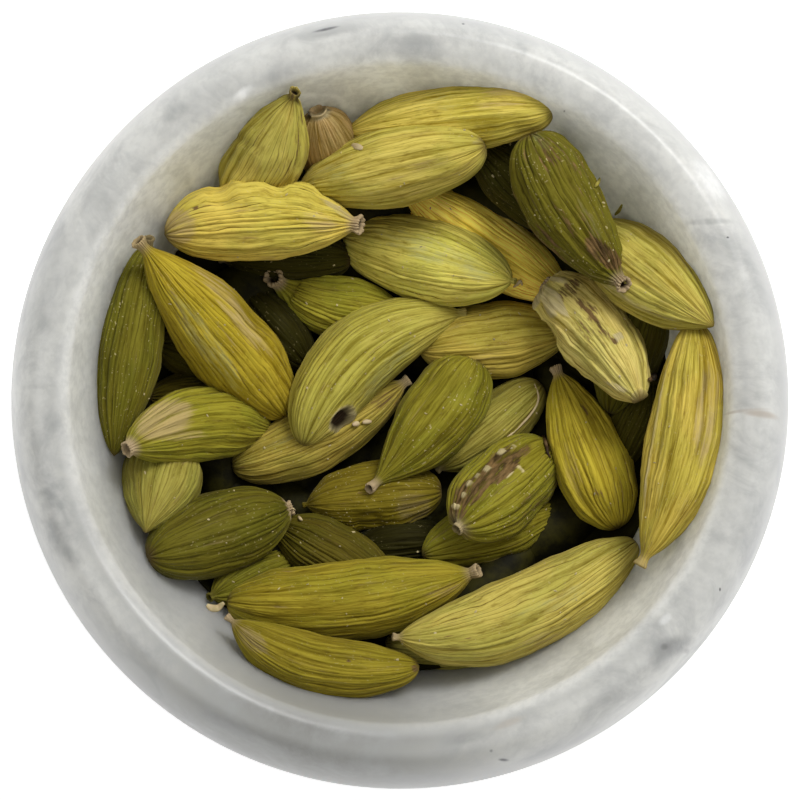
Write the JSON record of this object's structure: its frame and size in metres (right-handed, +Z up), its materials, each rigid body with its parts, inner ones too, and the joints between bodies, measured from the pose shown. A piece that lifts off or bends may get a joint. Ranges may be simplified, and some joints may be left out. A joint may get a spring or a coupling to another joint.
{
  "type": "dish of green cardamom",
  "caption": "Round polished marble pinch bowl filled with a loose heap of dried green cardamom pods.",
  "frame": {"origin": "centre of the bowl's flat foot, on the surface it stands on", "axes": "+Z up through the bowl's mouth, +X to the right and +Y to the top of the picture"},
  "size_m": [0.07, 0.07, 0.034],
  "materials": {
    "marble": "polished white marble with grey clouds and veins",
    "cardamom_husk": "dry ribbed papery husk, yellow-green to olive"
  },
  "bodies": {
    "root": {"bowl": "marble", "cardamom_heap": "cardamom_husk"}
  },
  "joints": []
}
